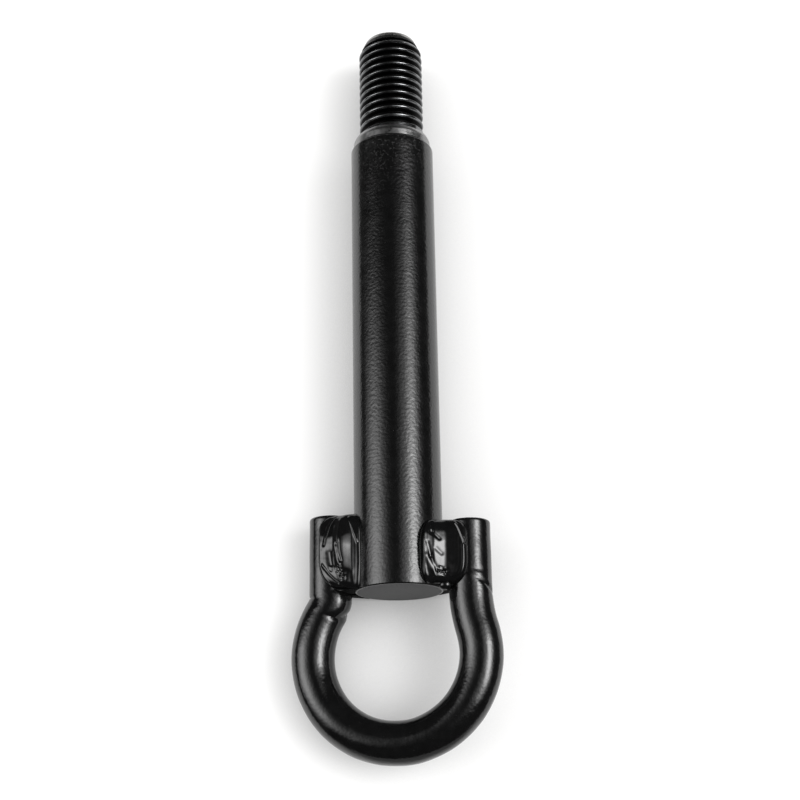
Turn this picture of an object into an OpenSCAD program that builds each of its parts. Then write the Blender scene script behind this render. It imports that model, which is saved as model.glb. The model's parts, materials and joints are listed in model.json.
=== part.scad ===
// Screw-in tow eye: a turned steel shaft with a threaded stud, and an eye bent from
// round bar whose two arms are welded to the sides of the shaft.
//
// Millimetres. The origin is on the shaft's axis, where the parallel part of the stud
// begins. +Y runs along the stud towards its tip. +Z is up. The piece lies as it comes
// to rest on a flat surface: on the shaft and on the rear weld of its left arm, so the
// eye is rolled a little about the shaft's axis.

/* [Shaft] */
// Diameter of the shaft
shaft_d = 20; // [18:0.5:24]
// Length of the full-diameter shaft, from its flat end face to the rounding before the collar
shaft_l = 109; // [80:1:140]
// Chamfer round the shaft's flat end face
end_chamfer = 0.4; // [0.2:0.1:1]
// Length of the rounding between the shaft and its collar
round_l = 0.6; // [0.5:0.1:1.5]
// Drop in radius over that rounding
round_drop = 0.65; // [0.3:0.05:1]
// Length of the collar, the bare stretch beside the stud
collar_l = 3; // [1.5:0.1:5]
// Length of the steep shoulder between the collar and the stud
shoulder_l = 0.6; // [0.4:0.1:2]

/* [Stud] */
// Diameter over the thread's crests
stud_d = 15.7; // [13.7:0.1:16]
// Length of the stud, from the shoulder to its tip
stud_l = 26.9; // [20:0.1:40]
// Length of the chamfer at the stud's tip
tip_l = 3.1; // [1:0.1:4]
// Drop in radius over the tip's chamfer
tip_drop = 1.85; // [0.8:0.05:2]
// Pitch of the right-hand thread
pitch = 2; // [1.5:0.5:2.5]

/* [Eye bar] */
// Diameter of the bar that the eye is bent from
bar_d = 9.6; // [8:0.1:10.6]
// How far the eye swells beyond the arms, from the middle of an arm to the middle of the bar
eye_flare = 3; // [2.6:0.1:8]
// How far the eye's centre lies beyond the shaft's end face
eye_drop = 14.05; // [12:0.05:20]
// How far the eye's centre lies off the shaft's axis, towards the left arm
eye_shift = 0.9; // [0:0.1:1.2]
// Gap between the shaft and the left arm
gap_left = 0.95; // [0.5:0.05:1]
// Gap between the shaft and the right arm
gap_right = 1.3; // [0.5:0.05:1.4]
// Length of the left arm beside the shaft
arm_left_l = 17.6; // [12:0.1:30]
// Length of the right arm beside the shaft
arm_right_l = 15; // [12:0.1:30]
// Chamfer round the ends of the bar
bar_chamfer = 0.5; // [0.2:0.1:1]
// Bend radius between the left arm and the eye, to the middle of the bar
bend_left_r = 6; // [5.5:0.5:30]
// Bend radius between the right arm and the eye, to the middle of the bar
bend_right_r = 30; // [5.5:0.5:40]

/* [Welds] */
// How far the left beads stand proud of a straight edge laid across the shaft and the arm
proud_left = 1.4; // [0.8:0.1:2]
// How far the right beads stand proud of a straight edge laid across the shaft and the arm
proud_right = 1.3; // [0.8:0.1:2]
// Distance from the shaft's surface to the root line of the left beads, across the axis
root_left = 0.3; // [-1:0.1:1]
// Distance from the shaft's surface to the root line of the right beads, across the axis
root_right = -0.6; // [-1:0.1:1]
// How far the root line lies behind the plane of the eye
root_sink = 0.5; // [0:0.1:1]
// How far a bead stops short of the arm's end
bead_short = 0.3; // [0:0.1:2]
// Gap left between the front and the rear bead, deep in the joint
bead_split = 2; // [0.5:0.1:3]
// Radius of a bead at its two ends, where it sinks into the joint
bead_tip_r = 3; // [1:0.5:5]

/* [Hidden] */

$fn = 96;
bead_steps = 16;
bar_sides = 32;
arc_step = 6;
groove_sides = 24;
groove_angle = 60;
groove_start = 0.8;
groove_run = 150;
groove_turn = 40;
groove_drawn = 0.7;
groove_drawn_run = 880;
cutter_over = 0.12;
groove_depth = 0.6 * pitch;
groove_flat = 0.15 * pitch;
shaft_r = shaft_d / 2;
stud_r = stud_d / 2;
bar_r = bar_d / 2;
collar_r = shaft_r - round_drop;
collar_y = shaft_l + round_l;
shoulder_y = collar_y + collar_l;
reach = shoulder_y + shoulder_l;
tip_y = reach + stud_l;
arm_left_x = shaft_r + gap_left + bar_r;
arm_right_x = shaft_r + gap_right + bar_r;
eye_r = (arm_left_x + arm_right_x) / 2 + eye_flare;

// Radius of a bead's crown about its root line, so that it stands proud by that much of
// a straight edge that touches the shaft and the arm
function crown(arm_x, root, proud) =
    let (slope = asin((shaft_r - bar_r) / arm_x))
    shaft_r + proud - (shaft_r + root) * sin(slope) + root_sink * cos(slope);
crown_left = crown(arm_left_x, root_left, proud_left);
crown_right = crown(arm_right_x, root_right, proud_right);

// The roll at which the left rear bead meets the surface that the shaft lies on
root_x = shaft_r + root_left;
rest_roll = asin((shaft_r - crown_left) / norm([root_x, root_sink])) + atan2(root_sink, root_x);

// Station at which an arm's bend begins, measured along the axis from the shaft's end face.
// off is the arm's distance from the line through the eye's centre.
function bend_y(off, bend_r) = sqrt(pow(eye_r + bend_r, 2) - pow(off + bend_r, 2)) - eye_drop;
// Angle that the bend turns through before it runs into the eye
function bend_turn(off, bend_r) = acos((off + bend_r) / (eye_r + bend_r));

left_off = arm_left_x - eye_shift;
right_off = arm_right_x + eye_shift;

// Everything is drawn from the shaft's end face, with the eye flat, and is set in place here
module in_place() {
    rotate([0, -rest_roll, 0]) translate([0, -reach, 0]) children();
}

// Turns what is drawn along +Z so that it runs along +Y
module along_y() {
    rotate([-90, 0, 0]) children();
}

module shaft_outline() {
    polygon([
        [0, 0],
        [shaft_r - end_chamfer, 0],
        [shaft_r, end_chamfer],
        [shaft_r, shaft_l],
        [collar_r, collar_y],
        [collar_r, shoulder_y],
        [stud_r, reach],
        [stud_r, tip_y - tip_l],
        [stud_r - tip_drop, tip_y],
        [0, tip_y]
    ]);
}

// Section of the cutter for the thread's groove, after that many degrees along the thread. The
// cutter starts just above the stud's surface and sinks to full depth over groove_run degrees. It
// reaches past the stud's surface by cutter_over. The first turns are drawn out towards the
// shoulder, by groove_drawn at their start and by nothing after groove_drawn_run degrees.
function groove_section(angle) =
    let (depth = -0.1 + (groove_depth + 0.1) * min(1, angle / groove_run),
         slope = tan(groove_angle / 2),
         low = groove_flat / 2,
         high = low + slope * (depth + cutter_over),
         drawn = groove_drawn * max(0, 1 - angle / groove_drawn_run),
         y = reach + groove_start + pitch * angle / 360 - drawn,
         turn = angle + groove_turn)
    [for (c = [[stud_r - depth, -low], [stud_r + cutter_over, -high],
               [stud_r + cutter_over, high], [stud_r - depth, low]])
        [c[0] * cos(turn), c[0] * sin(turn), y + c[1]]];

// Right-hand helical cutter, along +Z, that leaves the stud's thread
module groove_cutter() {
    step = 360 / groove_sides;
    last = ceil((stud_l - groove_start) / pitch * groove_sides) + groove_sides;
    points = [for (i = [0 : last]) each groove_section(i * step)];
    sides = [for (i = [0 : last - 1]) for (j = [0 : 3])
        let (k = (j + 1) % 4, a = i * 4, b = a + 4)
        each [[a + j, b + k, b + j], [a + j, a + k, b + k]]];
    z = last * 4;
    caps = [[2, 1, 0], [3, 2, 0], [z, z + 1, z + 2], [z, z + 2, z + 3]];
    polyhedron(points, concat(sides, caps));
}

module shaft() {
    color([0.06, 0.06, 0.065]) in_place() along_y() difference() {
        rotate_extrude() shaft_outline();
        groove_cutter();
    }
}

// The bar's centre line is a list of stations [x, y, heading, radius], with the heading in degrees.
// It runs down the left arm, round the eye and up the right arm.

// Stations along an arc from angle a0 to a1 about centre c, as many as keep a step under arc_step
function arc_stations(c, r, a0, a1) =
    let (n = ceil(abs(a1 - a0) / arc_step), way = a1 > a0 ? 90 : -90)
    [for (i = [0 : n]) let (a = a0 + (a1 - a0) * i / n)
        [c[0] + r * cos(a), c[1] + r * sin(a), a + way, bar_r]];

// Stations at an arm's chamfered end, seen from the end inwards
function end_stations(x, y, heading) = [
    [x, y, heading, bar_r - bar_chamfer],
    [x, y - bar_chamfer, heading, bar_r]
];

function bar_stations() =
    let (turn_left = bend_turn(left_off, bend_left_r),
         turn_right = bend_turn(right_off, bend_right_r),
         left_c = [-arm_left_x - bend_left_r, bend_y(left_off, bend_left_r)],
         right_c = [arm_right_x + bend_right_r, bend_y(right_off, bend_right_r)],
         right_end = end_stations(arm_right_x, arm_right_l, 90),
         eye = arc_stations([-eye_shift, -eye_drop], eye_r, 180 - turn_left, 360 + turn_right))
    concat(
        end_stations(-arm_left_x, arm_left_l, -90),
        arc_stations(left_c, bend_left_r, 0, -turn_left),
        [for (i = [1 : len(eye) - 2]) eye[i]],
        arc_stations(right_c, bend_right_r, 180 + turn_right, 180),
        [right_end[1], right_end[0]]
    );

// Points of the round section at one station
function section_points(st) =
    [for (j = [0 : bar_sides - 1]) let (a = 360 * j / bar_sides)
        [st[0] - st[3] * cos(a) * sin(st[2]), st[1] + st[3] * cos(a) * cos(st[2]), st[3] * sin(a)]];

module bar_sweep(stations) {
    last = len(stations) - 1;
    points = [for (st = stations) each section_points(st)];
    sides = [for (i = [0 : last - 1]) for (j = [0 : bar_sides - 1])
        let (k = (j + 1) % bar_sides, a = i * bar_sides, b = a + bar_sides)
        [a + j, a + k, b + k, b + j]];
    first_cap = [for (j = [0 : bar_sides - 1]) bar_sides - 1 - j];
    last_cap = [for (j = [0 : bar_sides - 1]) last * bar_sides + j];
    polyhedron(points, concat([first_cap], sides, [last_cap]));
}

module eye_bar() {
    color([0.05, 0.05, 0.055]) in_place() bar_sweep(bar_stations());
}

// Crowned spindle that a bead is cut from, along +Y from y0 to y1
module bead_spindle(crown_r, y0, y1) {
    half = (y1 - y0) / 2;
    translate([0, y0 + half, 0]) along_y() rotate_extrude() polygon(concat(
        [[0, -half]],
        [for (i = [0 : bead_steps])
            let (a = -90 + 180 * i / bead_steps)
            [bead_tip_r + (crown_r - bead_tip_r) * cos(a), half * sin(a)]],
        [[0, half]]
    ));
}

// One weld bead in the joint between the shaft and an arm.
// face is 1 for the front of the eye and -1 for its rear.
module bead(side, face, arm_x, crown_r, root, arm_l) {
    big = 4 * shaft_d;
    difference() {
        translate([side * (shaft_r + root), 0, -face * root_sink])
            bead_spindle(crown_r, 0, arm_l - bead_short);
        along_y() cylinder(h = big, r = shaft_r, center = true);
        translate([side * arm_x, 0, 0]) along_y() cylinder(h = big, r = bar_r, center = true);
        translate([0, 0, face * (bead_split / 2 - big / 2)]) cube(big, center = true);
    }
}

module weld_left(face) {
    color([0.09, 0.09, 0.1]) in_place() bead(-1, face, arm_left_x, crown_left, root_left, arm_left_l);
}

module weld_right(face) {
    color([0.09, 0.09, 0.1]) in_place() bead(1, face, arm_right_x, crown_right, root_right, arm_right_l);
}

module weld_front_left() {
    weld_left(1);
}

module weld_front_right() {
    weld_right(1);
}

module weld_rear_left() {
    weld_left(-1);
}

module weld_rear_right() {
    weld_right(-1);
}

shaft();
eye_bar();
weld_front_left();
weld_front_right();
weld_rear_left();
weld_rear_right();
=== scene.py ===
"""Looks of the tow eye: a black painted shaft with a threaded stud, and an eye of bent bar welded to it.

Each piece is drawn with the eye flat, in millimetres: x across, s along the shaft from its end
face towards the stud, z out of the plane of the eye. place() then sets it where the frame has it.
"""

import json
import math

import bmesh
import bpy
import numpy as np
from mathutils import Matrix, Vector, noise

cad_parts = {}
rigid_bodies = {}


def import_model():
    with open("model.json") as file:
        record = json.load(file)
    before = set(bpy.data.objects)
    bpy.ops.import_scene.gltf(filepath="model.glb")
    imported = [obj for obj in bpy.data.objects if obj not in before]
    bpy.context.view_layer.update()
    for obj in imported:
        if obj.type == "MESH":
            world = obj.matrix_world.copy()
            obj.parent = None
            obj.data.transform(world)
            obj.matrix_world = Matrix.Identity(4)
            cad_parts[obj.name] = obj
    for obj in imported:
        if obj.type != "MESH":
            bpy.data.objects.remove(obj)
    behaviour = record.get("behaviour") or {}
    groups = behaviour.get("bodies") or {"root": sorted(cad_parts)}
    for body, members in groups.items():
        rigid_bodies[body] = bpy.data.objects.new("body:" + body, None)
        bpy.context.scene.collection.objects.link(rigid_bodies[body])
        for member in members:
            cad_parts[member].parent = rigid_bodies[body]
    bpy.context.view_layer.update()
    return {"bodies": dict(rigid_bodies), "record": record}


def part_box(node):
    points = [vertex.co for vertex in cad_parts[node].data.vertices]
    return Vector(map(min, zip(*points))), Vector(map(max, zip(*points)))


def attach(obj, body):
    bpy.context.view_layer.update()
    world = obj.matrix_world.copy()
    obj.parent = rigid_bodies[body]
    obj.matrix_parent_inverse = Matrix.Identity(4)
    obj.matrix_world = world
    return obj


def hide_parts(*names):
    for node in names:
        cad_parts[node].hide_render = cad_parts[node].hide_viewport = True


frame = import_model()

MM = 0.001
BODY = list(frame["bodies"])[0]


def node_box(name):
    """Corners of a CAD node in millimetres."""
    low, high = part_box(name)
    return [v / MM for v in low], [v / MM for v in high]


def mount(name):
    """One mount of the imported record."""
    return next(m for m in frame["record"]["mounts"] if m["name"] == name)


# Sizes of the shaft and the stud, from the frame where it has them
shaft_low, shaft_high = node_box("shaft")
REACH = -shaft_low[1]
STUD_END = REACH + shaft_high[1]
SHAFT_R = (shaft_high[0] - shaft_low[0]) / 2
FLOOR_Z = shaft_low[2]
COLLAR_R = mount("collar")["dims"]["r_mm"]
STUD_R = 7.85
END_CHAMFER = 0.4
ROUND_L = 0.6
COLLAR_L = 3.0
SHOULDER_L = 0.6
TIP_L = 3.9
TIP_DROP = 1.80

# Thread of the stud, right-handed, with its first turns drawn out towards the shoulder
PITCH = 2.0
THREAD_DEPTH = 1.12
GROOVE_START = 0.8
GROOVE_RUN = (-10, 150.0)
GROOVE_TURN = 40.0
GROOVE_DRAWN = 0.7
GROOVE_DRAWN_RUN = 880.0
FLANK_ANGLE = 60
ROOT_ROUND = (0.0, 0.20)
CREST_ROUND = (0.74, 0.97)

# Eye bar, as the solid has it
eye_axis = mount("eye")["axis"]
ROLL = math.atan2(-eye_axis[0], eye_axis[2])
BAR_R = 4.8
ARM_LEFT_X = 15.75
ARM_RIGHT_X = 16.1
ARM_LEFT_L = 17.6
ARM_RIGHT_L = 15.0
EYE_FLARE = 3.0
EYE_R = (ARM_LEFT_X + ARM_RIGHT_X) / 2 + EYE_FLARE
EYE_DROP = 14.05
EYE_SHIFT = 0.9
BEND_LEFT_R = 6.0
BEND_RIGHT_R = 30.0
BAR_CHAMFER = 0.5

# Camera, found from the photograph: focal length and image place in pixels of its frame
IMAGE_SIZE = 800
FOCAL_PX = 1483.0
END_FACE_PX = (399.4, 592.2)
CAMERA_TILT = math.radians(18.62)
CAMERA_LEAN = math.radians(-1.02)
CAMERA_FAR = 330.6
SENSOR_MM = 36.0

# Seeded noise of the meshes: how far each seed moves it, and its falloff, step and octaves
SEED_SHIFT = 17.3
FIELD_FALLOFF = 1.0
FIELD_STEP = 2.0
FIELD_OCTAVES = 2


def place(points):
    """Points drawn with the eye flat, set in the row frame, in metres."""
    p = np.asarray(points, dtype=float)
    x, y, z = p[:, 0], p[:, 1] - REACH, p[:, 2]
    c, s = math.cos(ROLL), math.sin(ROLL)
    return np.stack([x * c - z * s, y, x * s + z * c], axis=1) * MM


def smooth_step(a, b, x):
    """0 below a, 1 above b, and an even rise between them."""
    t = np.clip((np.asarray(x, dtype=float) - a) / (b - a), 0.0, 1.0)
    return t * t * (3 - 2 * t)


def bump_of(x, width):
    """A rounded hill of height 1 about x = 0."""
    return np.exp(-((np.asarray(x, dtype=float) / width) ** 2))


def rough_field(points, scale, seed):
    """Smooth seeded noise, about -1 to 1, at points in millimetres."""
    shift = SEED_SHIFT * seed
    out = np.empty(len(points))
    for i, (x, y, z) in enumerate(points):
        where = (x / scale + shift, y / scale - shift, z / scale + shift)
        out[i] = noise.fractal(where, FIELD_FALLOFF, FIELD_STEP, FIELD_OCTAVES)
    return out


def grid_faces(rows, cols, wrap, start=0):
    """Quads of a grid of points stored row by row; wrap closes each row on itself."""
    faces = []
    for i in range(rows - 1):
        for j in range(cols if wrap else cols - 1):
            k = (j + 1) % cols
            a = start + i * cols
            faces.append((a + j, a + k, a + cols + k, a + cols + j))
    return faces


def make_piece(name, points, faces, materials, slots=None, sharp=None, flip=False):
    """A mesh piece from points drawn with the eye flat. slots gives each face's material number."""
    mesh = bpy.data.meshes.new(name)
    if flip:
        faces = [tuple(reversed(f)) for f in faces]
    mesh.from_pydata([tuple(p) for p in place(points)], [], faces)
    for material in materials:
        mesh.materials.append(material)
    if slots is not None:
        mesh.polygons.foreach_set("material_index", slots)
    mesh.polygons.foreach_set("use_smooth", [True] * len(mesh.polygons))
    if sharp is not None:
        mesh.set_sharp_from_angle(angle=math.radians(sharp))
    mesh.validate()
    mesh.update()
    piece = bpy.data.objects.new(name, mesh)
    bpy.context.scene.collection.objects.link(piece)
    return piece


def install(piece, node):
    """The piece stands for that CAD node."""
    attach(piece, BODY)
    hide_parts(node)


# Materials


class Nodes:
    """Small helper that adds and joins shader nodes."""

    def __init__(self, tree):
        self.tree = tree

    def add(self, kind, **inputs):
        node = self.tree.nodes.new(kind)
        for key, value in inputs.items():
            self.feed(node.inputs[key.replace("_", " ")], value)
        return node

    def feed(self, socket, value):
        if isinstance(value, bpy.types.NodeSocket):
            self.tree.links.new(value, socket)
        else:
            socket.default_value = value

    def math(self, operation, a, b=None):
        node = self.tree.nodes.new("ShaderNodeMath")
        node.operation = operation
        self.feed(node.inputs[0], a)
        if b is not None:
            self.feed(node.inputs[1], b)
        return node.outputs[0]

    def ramp(self, value, low, high, out_low=0.0, out_high=1.0, smooth=True):
        node = self.tree.nodes.new("ShaderNodeMapRange")
        node.interpolation_type = "SMOOTHSTEP" if smooth else "LINEAR"
        for i, v in enumerate((value, low, high, out_low, out_high)):
            self.feed(node.inputs[i], v)
        return node.outputs[0]

    def mix(self, factor, a, b):
        node = self.tree.nodes.new("ShaderNodeMix")
        node.data_type = "RGBA"
        self.feed(node.inputs[0], factor)
        self.feed(node.inputs[6], a)
        self.feed(node.inputs[7], b)
        return node.outputs[2]


# Spans of a noise's value over which clouds of colour and of gloss change
COLOUR_SPAN = (0.3, 0.7)
GLOSS_SPAN = (0.25, 0.75)
PAINT_WARMTH = -0.01
DUST_WARMTH = 0.01
# Places along the shaft, in the row frame, between which its wear towards the stud sets in
WEAR_MM = (-24.0, -4.0)
WEAR_WAVE_MM = 0.012
# Stretch of the scuffs along the shaft, and of the rings that a tool leaves round it
SCUFF_STRETCH = (1.0, 0.25, 1.0)
RING_STRETCH = (0.06, 1.0, 0.06)
METAL_DENT_MM = 0.03
# Grit of the dull near-black paint that is painted shade in seams
SHADE_GRIT_MM = 0.03


def grey(v, warm=0.0):
    """A grey, a little warm or cool."""
    return (v * (1 + warm), v, v * (1 - warm), 1.0)


def emptied(owner):
    """The node helper of a material or a world, whose tree is cleared."""
    owner.use_nodes = True
    owner.node_tree.nodes.clear()
    return Nodes(owner.node_tree)


def new_material(name):
    material = bpy.data.materials.new(name)
    n = emptied(material)
    shader = n.add("ShaderNodeBsdfPrincipled")
    n.add("ShaderNodeOutputMaterial", Surface=shader.outputs[0])
    return material, n, shader


def position_mm(n, stretch=(1.0, 1.0, 1.0)):
    """Place on the object in millimetres, stretched along an axis where a factor is under 1."""
    coord = n.add("ShaderNodeTexCoord")
    scale = n.add("ShaderNodeVectorMath")
    scale.operation = "MULTIPLY"
    n.feed(scale.inputs[0], coord.outputs["Object"])
    n.feed(scale.inputs[1], tuple(f / MM for f in stretch))
    return scale.outputs[0]


def noise_value(n, where, per_mm, detail, rough):
    node = n.add("ShaderNodeTexNoise", Vector=where, Scale=per_mm, Detail=detail, Roughness=rough)
    return node.outputs["Fac"]


def spots(n, where, span, per_mm, detail, rough):
    """A mask that is 1 where a noise is high, and 0 where it is under the span."""
    return n.ramp(noise_value(n, where, per_mm, detail, rough), *span)


def add_bump(n, height, depth_mm, below=None):
    node = n.add("ShaderNodeBump", Strength=1.0, Distance=depth_mm * MM, Height=height)
    if below is not None:
        n.feed(node.inputs["Normal"], below)
    return node.outputs["Normal"]


def paint_grain(n, where, grain_mm, depth_mm, below):
    """The orange peel of a paint, in one octave, so that it shows and doesn't dull the gloss."""
    return add_bump(n, noise_value(n, where, 1 / grain_mm, detail=1.0, rough=0.4), depth_mm, below)


def cloudy_grey(n, clouds, base, shares, warm):
    """A grey that changes with the clouds between two shares of its base."""
    low, high = shares
    return n.mix(n.ramp(clouds, *COLOUR_SPAN), grey(base * low, warm), grey(base * high, warm))


def cloudy_gloss(n, clouds, gloss, less, more):
    """A roughness that changes with the clouds, from less under gloss to more above it."""
    return n.ramp(clouds, *GLOSS_SPAN, gloss - less, gloss + more)


def cover(n, colour, mask, share, over):
    """The colour, with that share of another one over it where the mask is 1."""
    return n.mix(n.math("MULTIPLY", mask, share), colour, over)


def paint(name, base, gloss, grain_mm, grain_depth, wave_depth, dust_share):
    """Black paint: fine orange peel, slow waves, uneven gloss and a few pale specks of dust."""
    material, n, shader = new_material(name)
    where = position_mm(n)
    waves = noise_value(n, where, per_mm=0.22, detail=2.0, rough=0.5)
    patches = noise_value(n, where, per_mm=0.5, detail=3.0, rough=0.6)
    dust = spots(n, where, (0.74, 0.80), per_mm=2.6, detail=1.0, rough=0.4)
    colour = cloudy_grey(n, patches, base, (0.85, 1.2), PAINT_WARMTH)
    colour = cover(n, colour, dust, dust_share, grey(0.11, DUST_WARMTH))
    n.feed(shader.inputs["Base Color"], colour)
    n.feed(shader.inputs["Roughness"], cloudy_gloss(n, patches, gloss, less=0.04, more=0.05))
    slow = add_bump(n, waves, wave_depth)
    n.feed(shader.inputs["Normal"], paint_grain(n, where, grain_mm, grain_depth, slow))
    return material


def worn_paint(name, base, gloss, grain_mm, grain_depth):
    """The shaft's paint: orange peel and uneven gloss, with faint scuffs and pale flecks near the stud."""
    material, n, shader = new_material(name)
    where = position_mm(n)
    patches = noise_value(n, where, per_mm=0.4, detail=3.0, rough=0.6)
    streaks = spots(n, position_mm(n, SCUFF_STRETCH), (0.54, 0.68), per_mm=0.9, detail=4.0, rough=0.65)
    chips = spots(n, where, (0.57, 0.67), per_mm=1.5, detail=2.0, rough=0.6)
    dust = spots(n, where, (0.75, 0.81), per_mm=2.4, detail=1.0, rough=0.4)
    split = n.add("ShaderNodeSeparateXYZ", Vector=where)
    near_stud = n.ramp(split.outputs["Y"], *WEAR_MM)
    scuffs = n.math("MULTIPLY", streaks, near_stud)
    flecks = n.math("MULTIPLY", chips, near_stud)
    colour = cloudy_grey(n, patches, base, (0.88, 1.15), PAINT_WARMTH)
    colour = cover(n, colour, scuffs, 0.12, grey(0.05))
    colour = cover(n, colour, flecks, 0.55, grey(0.045))
    colour = cover(n, colour, dust, 0.25, grey(0.10, DUST_WARMTH))
    n.feed(shader.inputs["Base Color"], colour)
    even = cloudy_gloss(n, patches, gloss, less=0.03, more=0.04)
    n.feed(shader.inputs["Roughness"], n.math("ADD", even, n.math("MULTIPLY", scuffs, 0.05)))
    slow = add_bump(n, patches, WEAR_WAVE_MM)
    n.feed(shader.inputs["Normal"], paint_grain(n, where, grain_mm, grain_depth, slow))
    return material


def dark_metal(name, base, gloss, tint, ring_depth, groove_shade_r=None):
    """Turned or rolled dark steel: fine rings left by the tool, and cloudy oxide.

    Where two radii are given, the steel inside the first is painted near black and dulled, as painted
    shade down in the thread's grooves; outside the second it keeps its own colour.
    """
    material, n, shader = new_material(name)
    where = position_mm(n)
    rings = noise_value(n, position_mm(n, RING_STRETCH), per_mm=5.0, detail=2.0, rough=0.6)
    cloud = noise_value(n, where, per_mm=0.9, detail=4.0, rough=0.6)
    dirt = spots(n, where, (0.55, 0.75), per_mm=2.2, detail=2.0, rough=0.6)
    colour = cloudy_grey(n, cloud, base, (0.8, 1.15), tint)
    colour = cover(n, colour, dirt, 0.45, grey(base * 0.35, tint))
    rough = cloudy_gloss(n, cloud, gloss, less=0.05, more=0.08)
    # Painted shade: inside the first radius the steel is drawn near black and dull, down in the thread's
    # grooves
    if groove_shade_r is not None:
        split = n.add("ShaderNodeSeparateXYZ", Vector=where)
        across = n.math("POWER", split.outputs["X"], 2.0)
        across = n.math("ADD", across, n.math("POWER", split.outputs["Z"], 2.0))
        uneven = n.ramp(cloud, 0.2, 0.8, -0.06, 0.06, smooth=False)
        unshaded = n.ramp(n.math("ADD", n.math("SQRT", across), uneven), *groove_shade_r)
        colour = n.mix(unshaded, grey(0.004), colour)
        dull = n.math("MULTIPLY", n.math("SUBTRACT", 1.0, unshaded), 0.25)
        rough = n.math("ADD", rough, dull)
    n.feed(shader.inputs["Base Color"], colour)
    n.feed(shader.inputs["Metallic"], 1.0)
    n.feed(shader.inputs["Roughness"], rough)
    dents = add_bump(n, noise_value(n, where, per_mm=1.1, detail=3.0, rough=0.6), METAL_DENT_MM)
    n.feed(shader.inputs["Normal"], add_bump(n, rings, ring_depth, dents))
    return material


def shade_black(name):
    """Dull near-black paint with a little grit: painted shade in a narrow seam and at the beads' ends."""
    material, n, shader = new_material(name)
    grit = noise_value(n, position_mm(n), per_mm=4.0, detail=3.0, rough=0.7)
    n.feed(shader.inputs["Base Color"], n.mix(grit, grey(0.003), grey(0.012)))
    n.feed(shader.inputs["Roughness"], 0.9)
    n.feed(shader.inputs["Specular IOR Level"], 0.1)
    n.feed(shader.inputs["Normal"], add_bump(n, grit, SHADE_GRIT_MM))
    return material


SHAFT_PAINT = worn_paint("shaft_paint", base=0.0032, gloss=0.17, grain_mm=0.65, grain_depth=0.035)
# Painted light: the end face's black paint is drawn light grey for the floor's light, which it catches and
# reflects at a glancing angle
END_FACE_LIT_PAINT = paint("end_face_lit_paint", base=0.074, gloss=0.60, grain_mm=0.35, grain_depth=0.02,
                   wave_depth=0.02, dust_share=0.3)
EYE_PAINT = paint("eye_paint", base=0.004, gloss=0.12, grain_mm=0.65, grain_depth=0.026,
                  wave_depth=0.05, dust_share=0.15)
WELD_PAINT = paint("weld_paint", base=0.004, gloss=0.08, grain_mm=0.5, grain_depth=0.003,
                   wave_depth=0.04, dust_share=0.1)
COLLAR_METAL = dark_metal("collar_metal", base=0.27, gloss=0.30, tint=0.0, ring_depth=0.004)
# Painted shade: the thread's grooves are drawn near black inside the first of these radii
THREAD_METAL = dark_metal("thread_metal", base=0.20, gloss=0.15, tint=-0.02, ring_depth=0.002,
                          groove_shade_r=(7.42, 7.80))
TIP_METAL = dark_metal("tip_metal", base=0.32, gloss=0.28, tint=0.02, ring_depth=0.002)
# Painted shade: dull near black for the seam at the collar's foot and for the beads' ends at the eye
SEAM_SHADE = shade_black("seam_shade")


# Shaft with its stud

SHAFT_MATERIALS = [SHAFT_PAINT, END_FACE_LIT_PAINT, COLLAR_METAL, THREAD_METAL, TIP_METAL, SEAM_SHADE]
PAINTED, END_FACE, BARE, THREADED, TIP, SEAM = range(len(SHAFT_MATERIALS))
SHAFT_SEGMENTS = 192
THREAD_SEGMENTS = 160
END_FACE_RADII = (0.02, 2.5, 5.0, 7.5, 9.0, SHAFT_R - END_CHAMFER - 0.15)
CHAMFER_STEPS = 6
BODY_STEP = 1.5
ROUND_STEPS = 8
ROUND_POWER = 1.4
# Rings of the seam at the collar's foot: depth under the collar, and place along it
SEAM_RINGS = ((0.14, 0.02), (0.18, 0.10), (0.16, 0.20), (0.04, 0.30))
SEAM_L = 0.3
BARE_START = 0.34
BARE_GAP = 0.04
BARE_STEPS = 16
COLLAR_EDGE = 0.2
EDGE_STEPS = 5
# The collar's side towards the stud slopes
COLLAR_SLOPE_L = 1.3
COLLAR_SLOPE_DROP = 0.55
COLLAR_SLOPE_POWER = 1.5
# The tip: its bare band, its rounded edge, and how far the groove follows its taper
TIP_BAND_L = 1.2
TIP_EDGE = 0.03
TIP_EDGE_L = 0.35
TIP_GROOVE_SHARE = 0.10
# Half of the thread's section: distances from a groove's middle at which it has points
HALF_SECTION = [0.0, 0.06, 0.12, 0.18, 0.26, 0.40, 0.55, 0.68, 0.74, 0.79, 0.84, 0.89, 0.94]
SECTION_SAMPLES = 201
# A thread's face that is shorter than this along the shaft, in millimetres, is left out
FLAT_FACE = 1e-6
# Distances in metres: at which points of two rows are one, and at which one lies on the tip's end
SAME_POINT = 0.002 * MM
ON_TIP_END = 1e-7
SHAFT_SHARP = 38


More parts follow.
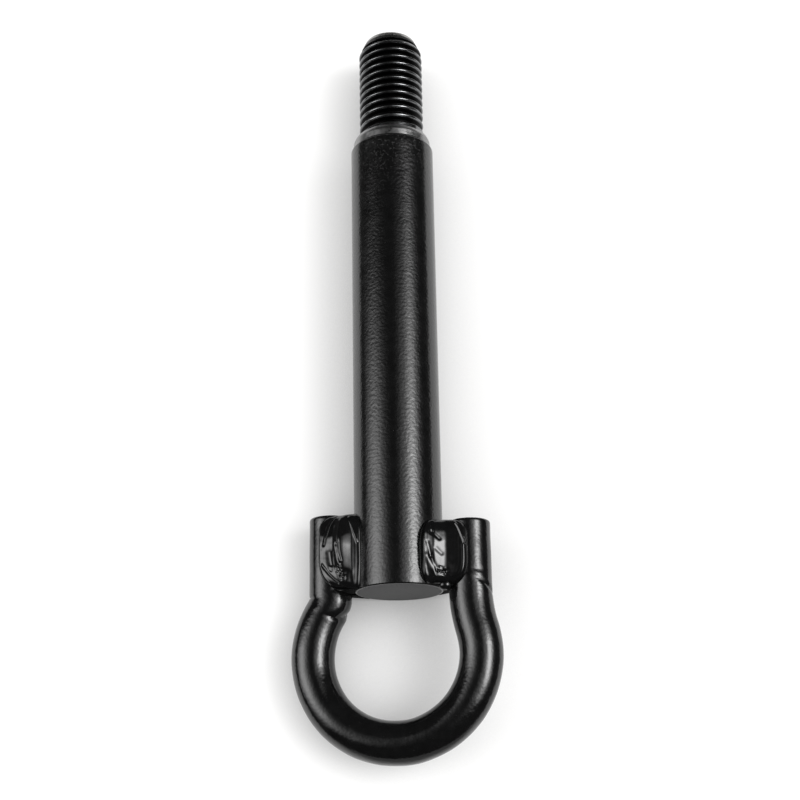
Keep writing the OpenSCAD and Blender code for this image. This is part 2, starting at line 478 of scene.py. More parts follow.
def shaft_profile():
    """Radius and station of each ring, from the end face to the shoulder, with the material number."""
    shoulder = REACH - SHOULDER_L
    collar = shoulder - COLLAR_L
    body_end = collar - ROUND_L
    rings = [(r, 0.0, END_FACE) for r in END_FACE_RADII]
    for i in range(CHAMFER_STEPS + 1):
        a = math.radians(90 * i / CHAMFER_STEPS)
        r = SHAFT_R - END_CHAMFER * (1 - math.sin(a))
        rings.append((r, END_CHAMFER * (1 - math.cos(a)), PAINTED))
    steps = int((body_end - END_CHAMFER) / BODY_STEP)
    for i in range(1, steps + 1):
        rings.append((SHAFT_R, END_CHAMFER + (body_end - END_CHAMFER) * i / steps, PAINTED))
    for i in range(1, ROUND_STEPS + 1):
        t = i / ROUND_STEPS
        drop = (SHAFT_R - COLLAR_R) * t ** 2
        rings.append((SHAFT_R - drop, body_end + ROUND_L * (1 - (1 - t) ** ROUND_POWER), PAINTED))
    # The seam at the collar's foot is painted near black, as shade in its groove
    for drop, s in SEAM_RINGS:
        rings.append((COLLAR_R - drop, collar + s, SEAM))
    bare = COLLAR_L - SEAM_L - COLLAR_EDGE
    for i in range(BARE_STEPS + 1):
        s = BARE_START + (bare - BARE_GAP) * i / BARE_STEPS
        slope = max(0.0, (s - COLLAR_L + COLLAR_SLOPE_L) / COLLAR_SLOPE_L)
        rings.append((COLLAR_R - COLLAR_SLOPE_DROP * slope ** COLLAR_SLOPE_POWER, collar + s, BARE))
    for i in range(1, EDGE_STEPS + 1):
        a = math.radians(90 * i / EDGE_STEPS)
        drop = COLLAR_SLOPE_DROP + COLLAR_EDGE * (1 - math.cos(a))
        rings.append((COLLAR_R - drop, shoulder - COLLAR_EDGE * (1 - math.sin(a)), BARE))
    crown_r = COLLAR_R - COLLAR_SLOPE_DROP - COLLAR_EDGE
    for i in range(1, EDGE_STEPS + 1):
        t = i / EDGE_STEPS
        rings.append((crown_r + (STUD_R - crown_r) * t, shoulder + SHOULDER_L * t, BARE))
    return rings


def groove_depth(away):
    """Depth of the thread's groove at a distance along the axis from its middle: round crest and root."""
    fine = np.linspace(0, PITCH / 2, SECTION_SAMPLES)
    flank = np.minimum(smooth_step(*ROOT_ROUND, fine), 1 - smooth_step(*CREST_ROUND, fine))
    slope = flank * math.radians(FLANK_ANGLE)
    rise = np.concatenate([[0.0], np.cumsum(np.tan(slope[1:]) * np.diff(fine))])
    depth = (rise[-1] - rise) * THREAD_DEPTH / rise[-1]
    return np.interp(np.abs(away), fine, depth)


def thread_rows():
    """Distances from a groove's middle at which the thread's section has points, over one pitch."""
    return sorted([-v for v in HALF_SECTION[1:]] + HALF_SECTION + [PITCH / 2])


def thread_grid():
    """Points of the threaded stud, row by row. Each row follows the thread once round."""
    # A groove's middle is at this station where the turn is 0, one pitch apart for each turn
    base = REACH + GROOVE_START - PITCH * (GROOVE_TURN + 90) / 360
    first = -int(math.ceil((base - REACH) / PITCH)) - 2
    last = int(math.ceil((STUD_END - base) / PITCH)) + 2
    turn = np.linspace(0, 360, THREAD_SEGMENTS + 1)
    a = np.radians(turn)
    rows = []
    for k in range(first, last):
        for away in thread_rows():
            regular = base + PITCH * k + away + PITCH * turn / 360
            along = (regular - away - REACH - GROOVE_START) * 360 / PITCH
            drawn = GROOVE_DRAWN * np.clip(1 - (along + away * 360 / PITCH) / GROOVE_DRAWN_RUN, 0, 1)
            station = np.clip(regular - drawn, REACH, STUD_END)
            shallow = THREAD_DEPTH * (1 - smooth_step(*GROOVE_RUN, along))
            taper = TIP_DROP * np.clip((station - STUD_END + TIP_L) / TIP_L, 0, 1)
            # On the tip the taper cuts the crests, and the groove sinks by a small share of it
            r = STUD_R - np.maximum(0.0, groove_depth(away) - shallow)
            r = np.minimum(r - TIP_GROOVE_SHARE * taper, STUD_R - taper)
            r = r * (1 - TIP_EDGE * smooth_step(STUD_END - TIP_EDGE_L, STUD_END, station))
            rows.append(np.stack([r * np.sin(a), station, r * np.cos(a)], axis=1))
    return rows


def build_shaft():
    rings = shaft_profile()
    turn = np.linspace(0, 2 * math.pi, SHAFT_SEGMENTS, endpoint=False)
    points = []
    for r, s, _ in rings:
        points.append(np.stack([r * np.sin(turn), np.full_like(turn, s), r * np.cos(turn)], axis=1))
    faces = grid_faces(len(rings), SHAFT_SEGMENTS, True)
    slots = []
    for _, _, number in rings[1:]:
        slots += [number] * SHAFT_SEGMENTS
    faces.append(tuple(reversed(range(SHAFT_SEGMENTS))))
    slots.append(END_FACE)

    # Rows that run past the shoulder or the tip are cut off there, and leave out their flat faces
    body_count = len(rings) * SHAFT_SEGMENTS
    rows = thread_grid()
    every = np.concatenate(points + rows)
    for face in grid_faces(len(rows), THREAD_SEGMENTS + 1, False, body_count):
        s = every[list(face), 1]
        if s.max() - s.min() > FLAT_FACE:
            faces.append(face)
            slots.append(TIP if s.mean() > STUD_END - TIP_BAND_L else THREADED)
    middle = len(every)
    every = np.concatenate([every, [[0.0, STUD_END, 0.0]]])
    piece = make_piece("shaft_with_stud", every, faces, SHAFT_MATERIALS, slots, flip=True)
    close_tip(piece, middle)
    install(piece, "shaft")


def close_tip(piece, middle):
    """Joins the thread's rows together and closes the stud's flat end round its middle point."""
    bm = bmesh.new()
    bm.from_mesh(piece.data)
    bm.verts.ensure_lookup_table()
    centre = bm.verts[middle]
    bmesh.ops.remove_doubles(bm, verts=[v for v in bm.verts if v is not centre], dist=SAME_POINT)
    end_y = (STUD_END - REACH) * MM
    rim = [e for e in bm.edges if e.is_boundary and all(abs(v.co.y - end_y) < ON_TIP_END for v in e.verts)]
    for e in rim:
        face = bm.faces.new((e.verts[0], e.verts[1], centre))
        face.material_index = TIP
        face.smooth = True
    bmesh.ops.recalc_face_normals(bm, faces=bm.faces[:])
    bm.to_mesh(piece.data)
    bm.free()
    piece.data.set_sharp_from_angle(angle=math.radians(SHAFT_SHARP))


# Eye bar

BAR_SIDES = 96
BAR_STEP = 0.4
BAR_SHARP = 40
# The bar's cut ends: distance from the end, and share of the chamfer that is off its radius there
BAR_END_STEPS = [(0.0, 1.0), (0.02, 0.66), (0.10, 0.36), (0.26, 0.12), (0.5, 0.0)]
# Uneven round of the bar: height and size of its lumps, and where they set in from an end
BAR_UNEVEN = 0.07
BAR_LUMP_MM = 7.0
BAR_UNEVEN_FROM = (0.3, 3.0)
BAR_SEED = 3

# Creases and dents that the bending left: station along the bar from its left end, side round the
# bar (0 is the inside of the eye, 90 its front), spread in degrees, width and depth in millimetres,
# and slant in millimetres of station for each 90 degrees round the bar
CREASES = [
    (18.6, 180, 42, 0.55, 0.42, -0.6),
    (20.9, 12, 48, 0.50, 0.66, 1.9),
    (19.0, 40, 34, 1.3, -0.30, 0.0),
    (16.9, 50, 30, 0.45, 0.22, 0.0),
]
# The same, with the station and the slant counted from the right end
RIGHT_CREASES = [
    (15.6, 165, 62, 0.36, 0.34, 4.0),
    (11.6, 118, 16, 0.35, 0.12, 0.8),
    (13.0, 105, 24, 0.9, -0.10, 0.0),
]


def bend_start(off, bend_r):
    """Station at which an arm's bend begins, as the solid has it."""
    return math.sqrt((EYE_R + bend_r) ** 2 - (off + bend_r) ** 2) - EYE_DROP


def bend_turn(off, bend_r):
    """Angle that the bend turns through before it runs into the eye."""
    return math.acos((off + bend_r) / (EYE_R + bend_r))


def arc(centre, r, a0, a1):
    """Points [x, s, heading] along an arc, about BAR_STEP apart."""
    count = max(2, int(abs(a1 - a0) * r / BAR_STEP))
    way = math.pi / 2 if a1 > a0 else -math.pi / 2
    out = []
    for i in range(count + 1):
        a = a0 + (a1 - a0) * i / count
        out.append([centre[0] + r * math.cos(a), centre[1] + r * math.sin(a), a + way])
    return out


def line(x, s0, s1, heading):
    """Points [x, s, heading] down or up an arm."""
    count = max(2, int(abs(s1 - s0) / BAR_STEP))
    return [[x, s0 + (s1 - s0) * i / count, heading] for i in range(count + 1)]


def bar_path():
    """The bar's centre line, down the left arm, round the eye and up the right arm."""
    left_off = ARM_LEFT_X - EYE_SHIFT
    right_off = ARM_RIGHT_X + EYE_SHIFT
    turn_l, turn_r = bend_turn(left_off, BEND_LEFT_R), bend_turn(right_off, BEND_RIGHT_R)
    y_l, y_r = bend_start(left_off, BEND_LEFT_R), bend_start(right_off, BEND_RIGHT_R)
    down, up = -math.pi / 2, math.pi / 2
    path = line(-ARM_LEFT_X, ARM_LEFT_L, y_l, down)
    path += arc((-ARM_LEFT_X - BEND_LEFT_R, y_l), BEND_LEFT_R, 0, -turn_l)[1:]
    path += arc((-EYE_SHIFT, -EYE_DROP), EYE_R, math.pi - turn_l, 2 * math.pi + turn_r)[1:]
    path += arc((ARM_RIGHT_X + BEND_RIGHT_R, y_r), BEND_RIGHT_R, math.pi + turn_r, math.pi)[1:]
    path += line(ARM_RIGHT_X, y_r, ARM_RIGHT_L, up)[1:]
    return np.array(path)


def bar_radius(stations, side, total):
    """The bar's radius at each station and side: chamfered ends, creases and dents."""
    near_end = np.minimum(stations, total - stations)
    drop = np.interp(near_end, [v[0] for v in BAR_END_STEPS], [v[1] * BAR_CHAMFER for v in BAR_END_STEPS])
    r = (BAR_R - drop)[:, None] * np.ones((1, BAR_SIDES))
    degrees = np.degrees(side)
    creases = CREASES + [(total - s, a, sp, w, d, -sl) for s, a, sp, w, d, sl in RIGHT_CREASES]
    for at, angle, spread, width, depth, slant in creases:
        turn = (degrees - angle + 180) % 360 - 180
        line_at = at + slant * turn / 90
        away = stations[:, None] - line_at[None, :]
        r -= depth * bump_of(away, width) * bump_of(turn, spread)[None, :]
    return r


def build_eye_bar():
    path = bar_path()
    step = np.hypot(np.diff(path[:, 0]), np.diff(path[:, 1]))
    along = np.concatenate([[0.0], np.cumsum(step)])
    total = along[-1]
    side = np.linspace(0, 2 * math.pi, BAR_SIDES, endpoint=False)
    normal = np.stack([-np.sin(path[:, 2]), np.cos(path[:, 2])], axis=1)
    extra = [v for d, _ in BAR_END_STEPS[1:] for v in (d, total - d)]
    stations = np.array(sorted({round(v, 5) for v in list(along) + extra}))
    cx = np.interp(stations, along, path[:, 0])
    cy = np.interp(stations, along, path[:, 1])
    nx = np.interp(stations, along, normal[:, 0])
    ny = np.interp(stations, along, normal[:, 1])
    length = np.hypot(nx, ny)
    nx, ny = nx / length, ny / length
    r = bar_radius(stations, side, total)
    surface = np.empty((len(stations), BAR_SIDES, 3))
    surface[:, :, 0] = cx[:, None] + r * np.cos(side)[None, :] * nx[:, None]
    surface[:, :, 1] = cy[:, None] + r * np.cos(side)[None, :] * ny[:, None]
    surface[:, :, 2] = r * np.sin(side)[None, :]
    flat = surface.reshape(-1, 3)
    uneven = rough_field(flat, BAR_LUMP_MM, BAR_SEED)
    centre = np.stack([cx, cy, np.zeros_like(cx)], axis=1)
    away = flat - np.repeat(centre, BAR_SIDES, axis=0)
    away /= np.linalg.norm(away, axis=1)[:, None]
    ends = np.repeat(np.minimum(stations, total - stations), BAR_SIDES)
    flat = flat + away * (BAR_UNEVEN * uneven * smooth_step(*BAR_UNEVEN_FROM, ends))[:, None]
    faces = grid_faces(len(stations), BAR_SIDES, True)
    count = len(flat)
    caps = [(-ARM_LEFT_X, ARM_LEFT_L, 0.0), (ARM_RIGHT_X, ARM_RIGHT_L, 0.0)]
    flat = np.concatenate([flat, caps])
    last = (len(stations) - 1) * BAR_SIDES
    for j in range(BAR_SIDES):
        k = (j + 1) % BAR_SIDES
        faces.append((count, k, j))
        faces.append((count + 1, last + j, last + k))
    piece = make_piece("bent_eye", flat, faces, [EYE_PAINT], sharp=BAR_SHARP)
    install(piece, "eye_bar")


# Weld beads

BEAD_ROWS = 190
BEAD_COLUMNS = 110
# Columns of a bead down each of its hidden sides, which end at this height over the eye's plane
HIDDEN_COLUMNS = 14
ROOT_Z = 1.0
# Rows stand closer together at a bead's ends
ROW_POWER = 1.35
BEAD_SHARP = 50
# A bead's end at the eye is painted near black over this length, as painted shade
SHADED_END_L = 0.25
# How blunt a bead's outline is: its stud end, and its toe on the shaft at both ends
STUD_ROUND = 7.0
SHAFT_TOE_ROUND = (4.5, 3.6)
# Angles in degrees round the shaft and the arm at which the toes meet them at the bead's ends
SHAFT_TOE_ENDS = (34, 26)
ARM_TOE_END = 152
# The crown is lower by this share at the eye. It rises, and later sinks, over these spans of the
# way along the bead, which runs from -1 to 1
BEAD_RISE = 0.26
RISE_SPAN = (-0.95, 0.30)
SINK_SPAN = (0.18, 1.08)
# Details of a crown in millimetres: size and height of its lumps, small dents and grit
LUMP_MM = 4.6
LUMP_H = 0.06
DENT_MM = 1.6
DENT_H = 0.012
GRIT_MM = 0.55
# Ripples across the bead, bowed towards the eye at their middle, and rings along its toes
RIPPLE_H = 0.006
RIPPLE_MM = 1.9
RIPPLE_BOW = 1.5
RIPPLE_WAVER = 2.2
RING_H = 0.05
RING_MM = 0.74
RING_FADE = 0.85
RING_WAVER = 0.15
# The details fade towards the toes and the ends. The stud's end counts as farther away
SOFT_SPAN = (0.0, 1.1)
STUD_END_SHARE = 1.4
END_GAP_SHARE = 0.9
END_GAP = 0.1
MARK_WAVER = 0.12
CRATER_GRIT = 0.34
CRATER_DEPTH = 0.24
# Rounding of the profile's corners: samples over the chord and a little past it, and the window
PROFILE_SAMPLES = (-0.1, 1.1, 481)
PROFILE_WINDOW = (-2, 2, 21)
PROFILE_TOE = (0.0, 0.02)

# Each bead lies on a chord between its toes on the shaft and on the arm, given as angles round them.
# profile is its height over that chord in millimetres, at shares of the way from the arm's toe to the
# shaft's, round_end how blunt its end at the eye is, and sink the share it falls by towards the stud
BEADS = {
    "left": dict(side=-1, arm_x=ARM_LEFT_X, length=ARM_LEFT_L - 0.1, shaft_toe=45, arm_toe=68,
                 round_end=2.6, sink=0.62,
                 profile=[(0.0, 0.0), (0.04, 0.75), (0.10, 1.00), (0.40, 1.32), (0.50, 1.80), (0.56, 2.15),
                          (0.61, 2.20), (0.66, 1.85), (0.80, 0.50), (0.90, 0.28), (1.0, 0.0)]),
    "right": dict(side=1, arm_x=ARM_RIGHT_X, length=ARM_RIGHT_L - 0.1, shaft_toe=51, arm_toe=86,
                  round_end=3.6, sink=0.25,
                  profile=[(0.0, 0.0), (0.04, 0.80), (0.10, 1.30), (0.46, 0.78), (0.50, 0.84), (0.71, 1.44),
                           (0.76, 1.42), (0.93, 1.78), (0.97, 1.00), (1.0, 0.0)]),
}
# Height of the rear beads' crowns against the front ones': the left one has to clear the floor
REAR_SHARE = 0.75

# Marks that the weld pool left: each runs from one place to another, given as shares of the bead's
# length and width, with a half width and a depth in millimetres. A mark of negative depth is a ridge.
# A crater is a pitted mark, with its two places and its half width
FRONT_LEFT_MARKS = [
    ((0.58, 0.52), (0.36, 0.59), 0.44, 0.34),
    ((0.48, 0.31), (0.34, 0.33), 0.82, 0.36),
    ((0.27, 0.28), (0.26, 0.31), 0.55, 0.16),
    ((0.93, 0.76), (0.60, 0.93), 0.30, -0.28),
    ((0.95, 0.32), (0.60, 0.18), 0.35, 0.22),
    ((0.34, 0.12), (0.10, 0.34), 0.35, 0.20),
    ((0.80, 0.46), (0.70, 0.42), 0.90, -0.10),
    ((0.20, 0.66), (0.04, 0.60), 1.10, 0.45),
]
FRONT_LEFT_CRATER = ((0.25, 0.52), (0.16, 0.56), 0.80)
FRONT_RIGHT_MARKS = [
    ((0.92, 0.82), (0.76, 0.77), 0.42, 0.15),
    ((0.76, 0.77), (0.66, 0.60), 0.42, 0.15),
    ((0.60, 0.85), (0.40, 0.79), 0.40, 0.13),
    ((0.40, 0.79), (0.20, 0.66), 0.40, 0.13),
    ((0.52, 0.68), (0.44, 0.56), 0.45, 0.09),
    ((0.90, 0.22), (0.60, 0.08), 0.28, -0.26),
    ((0.40, 0.88), (0.10, 0.68), 0.70, -0.18),
]
FRONT_RIGHT_CRATER = ((0.20, 0.60), (0.17, 0.46), 0.6)
REAR_LEFT_MARKS = [
    ((0.78, 0.40), (0.55, 0.44), 0.70, 0.40),
    ((0.40, 0.60), (0.20, 0.52), 0.40, 0.35),
    ((0.90, 0.62), (0.30, 0.70), 0.80, -0.05),
]
REAR_LEFT_CRATER = ((0.30, 0.5), (0.24, 0.5), 0.6)
REAR_RIGHT_MARKS = [
    ((0.70, 0.66), (0.42, 0.60), 0.40, 0.40),
    ((0.36, 0.34), (0.22, 0.38), 0.70, 0.40),
    ((0.86, 0.44), (0.24, 0.52), 0.80, -0.35),
]
REAR_RIGHT_CRATER = ((0.60, 0.5), (0.56, 0.5), 0.6)

# Place and radius of a drop that hangs from the front right bead, and how much wider than high it is
DROPLET = ((11.1, 0.2, 4.4), 1.2)
DROPLET_WIDE = 1.15
DROPLET_RINGS = 14
DROPLET_TURNS = 24


def flatter(spec, share):
    """A bead as another one, with its crown lowered to a share of the height."""
    return dict(spec, profile=[(v, h * share) for v, h in spec["profile"]])


def mark_distance(along, across, start, end, length, width):
    """Distance in millimetres from a mark's line to each point of the bead."""
    ax, ay = start[0] * length, start[1] * width
    bx, by = end[0] * length, end[1] * width
    span = (bx - ax) ** 2 + (by - ay) ** 2
    t = np.clip(((along - ax) * (bx - ax) + (across - ay) * (by - ay)) / span, 0, 1)
    return np.hypot(along - ax - t * (bx - ax), across - ay - t * (by - ay))


def height_over_chord(v, profile):
    """The profile's height at shares of the chord, with its corners rounded."""
    fine = np.linspace(*PROFILE_SAMPLES)
    line_up = np.interp(fine, [p[0] for p in profile], [p[1] for p in profile])
    kernel = bump_of(np.linspace(*PROFILE_WINDOW), 1.0)
    rounded = np.convolve(line_up, kernel / kernel.sum(), mode="same")
    return np.interp(v, fine, rounded) * smooth_step(*PROFILE_TOE, np.minimum(v, 1 - v))


def full_outline(t, eye_round, stud_round):
    """How wide a bead is along its way, from 0 at its ends to 1, and how blunt it is at each."""
    return (1 - np.abs(t) ** np.where(t < 0, eye_round, stud_round)) ** 0.5


def bead_surface(spec, seed, marks, crater):
    """Crown of one bead: points over rows along it and columns from the arm to the shaft."""
    length = spec["length"]
    t = np.linspace(-1, 1, BEAD_ROWS)
    t = np.sign(t) * (1 - (1 - np.abs(t)) ** ROW_POWER)
    v = np.linspace(0, 1, BEAD_COLUMNS)
    v = 0.5 - 0.5 * np.cos(math.pi * v)
    station = length * (t + 1) / 2

    # The toes: the one on the shaft stays high nearly to the bead's ends
    fullness = full_outline(t, spec["round_end"], STUD_ROUND)
    end_toe = np.where(t < 0, *SHAFT_TOE_ENDS)
    on_shaft = np.radians(end_toe + (spec["shaft_toe"] - end_toe) * full_outline(t, *SHAFT_TOE_ROUND))
    on_arm = np.radians(ARM_TOE_END + (spec["arm_toe"] - ARM_TOE_END) * fullness)
    toe_s = np.stack([SHAFT_R * np.cos(on_shaft), SHAFT_R * np.sin(on_shaft)], axis=1)
    toe_a = np.stack([spec["arm_x"] + BAR_R * np.cos(on_arm), BAR_R * np.sin(on_arm)], axis=1)
    chord = toe_s - toe_a
    width = np.linalg.norm(chord, axis=1)
    up = np.stack([chord[:, 1], -chord[:, 0]], axis=1) / width[:, None]
    xs = toe_a[:, None, 0] + chord[:, None, 0] * v[None, :]
    zs = toe_a[:, None, 1] + chord[:, None, 1] * v[None, :]

    # The crown's main form over the chord
    rise = 1 - BEAD_RISE * (1 - smooth_step(*RISE_SPAN, t))
    fall = rise * (1 - spec["sink"] * smooth_step(*SINK_SPAN, t))
    height = (fullness * fall)[:, None] * height_over_chord(v, spec["profile"])[None, :]

    # Its lumps, ripples and rings
    edge = np.minimum(v, 1 - v)[None, :] * width[:, None]
    ends = np.minimum(station, (length - station) * STUD_END_SHARE)[:, None]
    toe_gap = np.minimum(edge, ends * END_GAP_SHARE + END_GAP)
    soft = smooth_step(*SOFT_SPAN, toe_gap)
    pts = np.stack([xs, np.repeat(station[:, None], BEAD_COLUMNS, 1), zs], axis=2).reshape(-1, 3)
    lumps = rough_field(pts, LUMP_MM, seed).reshape(xs.shape)
    dents = rough_field(pts, DENT_MM, seed + 5).reshape(xs.shape)
    grit = rough_field(pts, GRIT_MM, seed + 9).reshape(xs.shape)
    chevron = station[:, None] - RIPPLE_BOW * ((v[None, :] - 0.5) * 2) ** 2
    ripple = np.sin(2 * math.pi * chevron / RIPPLE_MM + RIPPLE_WAVER * lumps)
    rings = np.sin(2 * math.pi * (toe_gap + RING_WAVER * lumps) / RING_MM) * np.exp(-toe_gap / RING_FADE)
    height = height + soft * (LUMP_H * lumps + DENT_H * dents + RIPPLE_H * ripple)
    height = height + RING_H * rings * fullness[:, None]

    # Its marks and its crater
    across = v[None, :] * width.max()
    for start, end, wide, depth in marks:
        away = mark_distance(station[:, None], across, start, end, length, width.max())
        height -= soft * depth * bump_of(away * (1 + MARK_WAVER * dents), wide)
    start, end, wide = crater
    away = mark_distance(station[:, None], across, start, end, length, width.max())
    height += soft * (CRATER_GRIT * grit - CRATER_DEPTH) * bump_of(away, wide)
    height = np.maximum(height, 0.0)
    xs = xs + up[:, None, 0] * height
    zs = zs + up[:, None, 1] * height
    return station, xs, zs, on_shaft, on_arm


def droplet(at, r):
    """A small drop of weld metal: points and faces of a slightly flattened ball."""
    points = [(at[0], at[1] - r, at[2])]
    for i in range(1, DROPLET_RINGS):
        a = math.pi * i / DROPLET_RINGS
        for j in range(DROPLET_TURNS):
            b = 2 * math.pi * j / DROPLET_TURNS
            x = at[0] + DROPLET_WIDE * r * math.sin(a) * math.cos(b)
            points.append((x, at[1] - r * math.cos(a), at[2] + r * math.sin(a) * math.sin(b)))
    points.append((at[0], at[1] + r, at[2]))
    faces = [(0, 1 + (j + 1) % DROPLET_TURNS, 1 + j) for j in range(DROPLET_TURNS)]
    faces += grid_faces(DROPLET_RINGS - 1, DROPLET_TURNS, True, 1)
    top = len(points) - 1
    last = 1 + (DROPLET_RINGS - 2) * DROPLET_TURNS
    faces += [(top, last + j, last + (j + 1) % DROPLET_TURNS) for j in range(DROPLET_TURNS)]
    return np.array(points), faces


def build_bead(name, node, face, seed, marks, crater, spec, drop=None):
    """One bead on the front (face 1) or the rear (face -1) of its joint."""
    side, arm_x = spec["side"], spec["arm_x"]
    station, xs, zs, on_shaft, on_arm = bead_surface(spec, seed, marks, crater)
    share = np.linspace(0, 1, HIDDEN_COLUMNS + 1)[1:]
    low_shaft = math.asin(ROOT_Z / SHAFT_R)
    low_arm = math.pi - math.asin(ROOT_Z / BAR_R)
    loop = []
    for i in range(BEAD_ROWS):
        down = on_shaft[i] + (low_shaft - on_shaft[i]) * share
        up = low_arm + (on_arm[i] - low_arm) * share[:-1]
        up = np.concatenate([[low_arm], up])
        x = np.concatenate([xs[i], SHAFT_R * np.cos(down), arm_x + BAR_R * np.cos(up)])
        z = np.concatenate([zs[i], SHAFT_R * np.sin(down), BAR_R * np.sin(up)])
        loop.append(np.stack([side * x, np.full_like(x, station[i]), face * z], axis=1))
    columns = len(loop[0])
    points = np.concatenate(loop)
    faces = grid_faces(BEAD_ROWS, columns, True)
    start = len(points)
    points = np.concatenate([points, [loop[0].mean(axis=0), loop[-1].mean(axis=0)]])
    last = (BEAD_ROWS - 1) * columns
    for j in range(columns):
        k = (j + 1) % columns
        faces.append((start, k, j))
        faces.append((start + 1, last + j, last + k))
    # Faces at the bead's end at the eye get the near-black painted shade
    painted, shaded_end = 0, 1
    slots = [shaded_end if points[list(f), 1].mean() < SHADED_END_L else painted for f in faces]
    if side * face > 0:
        faces = [tuple(reversed(f)) for f in faces]
    if drop is not None:
        more, round_faces = droplet(*drop)
        base = len(points)
        points = np.concatenate([points, more])
        faces += [tuple(base + i for i in f) for f in round_faces]
        slots += [painted] * len(round_faces)
    piece = make_piece(name, points, faces, [WELD_PAINT, SEAM_SHADE], slots, sharp=BEAD_SHARP)
    install(piece, node)


# Stage, light and camera

# Half side of the floor in metres
FLOOR_HALF = 3.0
FLOOR_COLOUR = (1.0, 0.997, 0.992, 1.0)
FLOOR_DIFFUSE = 0.35
FLOOR_GLOW = 0.84
FLOOR_SHADE_MM = 60.0
FLOOR_SHADE_SAMPLES = 12
# Share of the floor that the glossy paint reflects: near the tow eye, far from it, and the places to
# its left, its right and its near side between which the share falls
FLOOR_REFLECTED = 0.90
FLOOR_FAR_SHARE = 0.06
FLOOR_LEFT_MM = (42.0, 72.0)
FLOOR_RIGHT_MM = (60.0, 95.0)
FLOOR_NEAR_MM = (156.0, 180.0)
FLOOR_NEAR_SHARE = 0.35


def build_floor():
    z = FLOOR_Z * MM
    corners = [(-1, -1), (1, -1), (1, 1), (-1, 1)]
    mesh = bpy.data.meshes.new("floor")
    mesh.from_pydata([(FLOOR_HALF * x, FLOOR_HALF * y, z) for x, y in corners], [], [(0, 1, 2, 3)])
    floor = bpy.data.objects.new("floor", mesh)
    bpy.context.scene.collection.objects.link(floor)
    material = bpy.data.materials.new("floor")
    n = emptied(material)
    hidden = n.add("ShaderNodeAmbientOcclusion", Distance=FLOOR_SHADE_MM * MM)
    hidden.samples = FLOOR_SHADE_SAMPLES
    open_sky = n.ramp(hidden.outputs["AO"], 0.0, 1.0, 0.0, FLOOR_GLOW, smooth=False)
    # What the glossy paint reflects of the floor ends sooner than what the camera sees of it
    split = n.add("ShaderNodeSeparateXYZ", Vector=position_mm(n))
    left = n.ramp(split.outputs["X"], -FLOOR_LEFT_MM[1], -FLOOR_LEFT_MM[0])
    right = n.ramp(split.outputs["X"], *FLOOR_RIGHT_MM, 1.0, 0.0)
    near = n.ramp(split.outputs["Y"], -FLOOR_NEAR_MM[1], -FLOOR_NEAR_MM[0], FLOOR_NEAR_SHARE, 1.0)
    share = n.math("MULTIPLY", n.math("MULTIPLY", left, right), near)
    share = n.math("ADD", n.math("MULTIPLY", share, FLOOR_REFLECTED), FLOOR_FAR_SHARE)
    path = n.add("ShaderNodeLightPath")
    share = n.math("MAXIMUM", share, path.outputs["Is Camera Ray"])
    glow = n.add("ShaderNodeEmission", Color=FLOOR_COLOUR, Strength=n.math("MULTIPLY", open_sky, share))
    diffuse = n.add("ShaderNodeBsdfDiffuse", Color=n.mix(share, grey(0.0), grey(FLOOR_DIFFUSE)))
    both = n.add("ShaderNodeAddShader")
    n.feed(both.inputs[0], diffuse.outputs[0])
    n.feed(both.inputs[1], glow.outputs[0])
    n.add("ShaderNodeOutputMaterial", Surface=both.outputs[0])
    mesh.materials.append(material)


# Soft boxes of the studio, as directions in the sky. turn is the angle from overhead towards +X in
# degrees, spread its half width, reach where it fades towards +Y, and power its brightness
SOFT_BOXES = [
    dict(turn=-60.0, spread=21.0, reach=(0.205, 0.40), power=5.4),
    dict(turn=41.0, spread=14.5, reach=(0.27, 0.475), power=6.6),
    dict(turn=41.0, spread=13.0, reach=(0.215, 0.27), power=7.5),
    dict(turn=15.0, spread=9.5, reach=(0.27, 0.475), power=0.9),
]
# Where all of them fade towards -Y
SOFT_BOX_BACK = (-0.50, -0.02)
SKY_LIGHT = 0.04
SKY_SEEN = 1.0
SKY_COLOUR = (1.0, 1.0, 1.0, 1.0)


def build_world():
    """Sky of a small studio: dim all round, with soft boxes over the tow eye and to both its sides."""
    world = bpy.data.worlds.new("studio")
    bpy.context.scene.world = world
    n = emptied(world)
    coord = n.add("ShaderNodeTexCoord")
    split = n.add("ShaderNodeSeparateXYZ", Vector=coord.outputs["Generated"])
    x, y, z = (split.outputs[i] for i in range(3))
    turn = n.math("DEGREES", n.math("ARCTAN2", x, z))
    behind = n.ramp(y, *SOFT_BOX_BACK)
    total = SKY_LIGHT
    for soft_box in SOFT_BOXES:
        away = n.math("DIVIDE", n.math("SUBTRACT", turn, soft_box["turn"]), soft_box["spread"])
        square = n.math("POWER", n.math("ABSOLUTE", away), 2.0)
        across = n.math("EXPONENT", n.math("MULTIPLY", square, -1.0))
        ahead = n.ramp(y, *soft_box["reach"], 1.0, 0.0, smooth=False)
        lit = n.math("MULTIPLY", n.math("MULTIPLY", ahead, behind), across)
        total = n.math("ADD", n.math("MULTIPLY", lit, soft_box["power"]), total)
    path = n.add("ShaderNodeLightPath")
    strength = n.add("ShaderNodeMix")
    n.feed(strength.inputs[0], path.outputs["Is Camera Ray"])
    n.feed(strength.inputs[2], total)
    n.feed(strength.inputs[3], SKY_SEEN)
    back = n.add("ShaderNodeBackground", Color=SKY_COLOUR, Strength=strength.outputs[0])
    n.add("ShaderNodeOutputWorld", Surface=back.outputs[0])


CAMERA_CLIP = (0.01, 20.0)


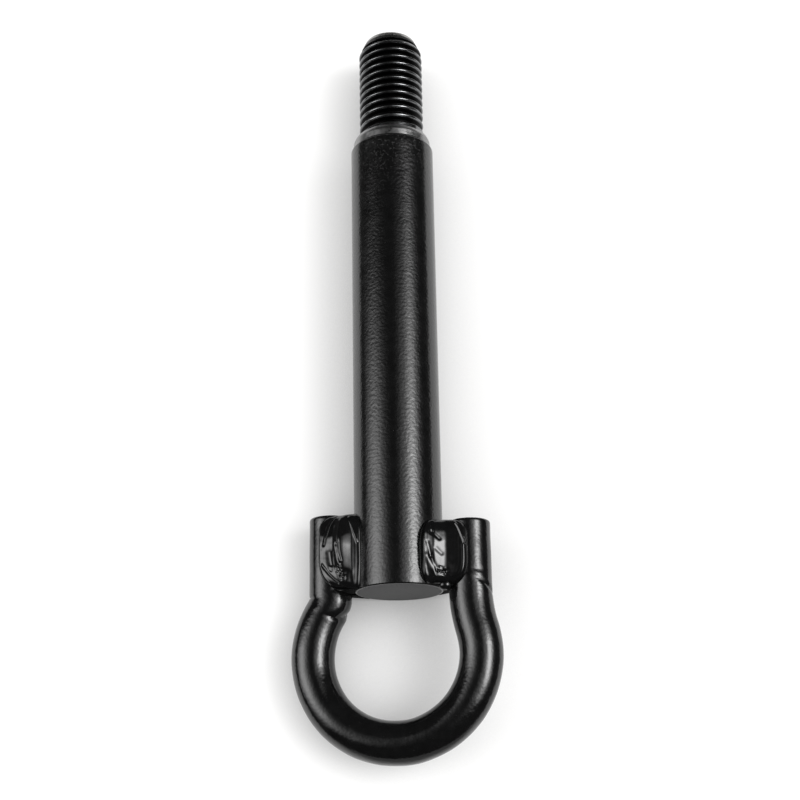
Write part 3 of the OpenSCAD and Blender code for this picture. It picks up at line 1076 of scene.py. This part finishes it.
def build_camera():
    """The camera where the photograph was taken from, with its own lean."""
    half = IMAGE_SIZE / 2
    t, a = CAMERA_TILT, CAMERA_LEAN
    lean = np.array([[math.cos(a), -math.sin(a), 0], [math.sin(a), math.cos(a), 0], [0, 0, 1]])
    # The row frame's axes as columns, as the camera sees them: x right, y down, z away
    level = np.array([[1, 0, 0], [0, -math.cos(t), -math.sin(t)], [0, math.sin(t), -math.cos(t)]])
    seen = lean @ level
    across, down = ((px - half) / FOCAL_PX for px in END_FACE_PX)
    end_face = np.array([across, down, 1.0]) * CAMERA_FAR
    position = -seen.T @ end_face + np.array([0.0, -REACH, 0.0])
    turn = np.stack([seen[0], -seen[1], -seen[2]], axis=1)
    matrix = Matrix.Identity(4)
    for i in range(3):
        for j in range(3):
            matrix[i][j] = turn[i][j]
        matrix[i][3] = position[i] * MM
    data = bpy.data.cameras.new("camera")
    data.sensor_width = SENSOR_MM
    data.sensor_fit = "AUTO"
    data.lens = FOCAL_PX * SENSOR_MM / IMAGE_SIZE
    data.clip_start, data.clip_end = CAMERA_CLIP
    camera = bpy.data.objects.new("camera", data)
    camera.matrix_world = matrix
    bpy.context.scene.collection.objects.link(camera)
    bpy.context.scene.camera = camera


build_camera()
build_world()
build_floor()
build_shaft()
build_eye_bar()
build_bead("bead_front_left", "weld_front_left", face=1, seed=11, marks=FRONT_LEFT_MARKS,
           crater=FRONT_LEFT_CRATER, spec=BEADS["left"])
build_bead("bead_front_right", "weld_front_right", face=1, seed=23, marks=FRONT_RIGHT_MARKS,
           crater=FRONT_RIGHT_CRATER, spec=BEADS["right"], drop=DROPLET)
build_bead("bead_rear_left", "weld_rear_left", face=-1, seed=37, marks=REAR_LEFT_MARKS,
           crater=REAR_LEFT_CRATER, spec=flatter(BEADS["left"], REAR_SHARE))
build_bead("bead_rear_right", "weld_rear_right", face=-1, seed=41, marks=REAR_RIGHT_MARKS,
           crater=REAR_RIGHT_CRATER, spec=flatter(BEADS["right"], REAR_SHARE))

scene = bpy.context.scene
scene.view_settings.view_transform = "Standard"
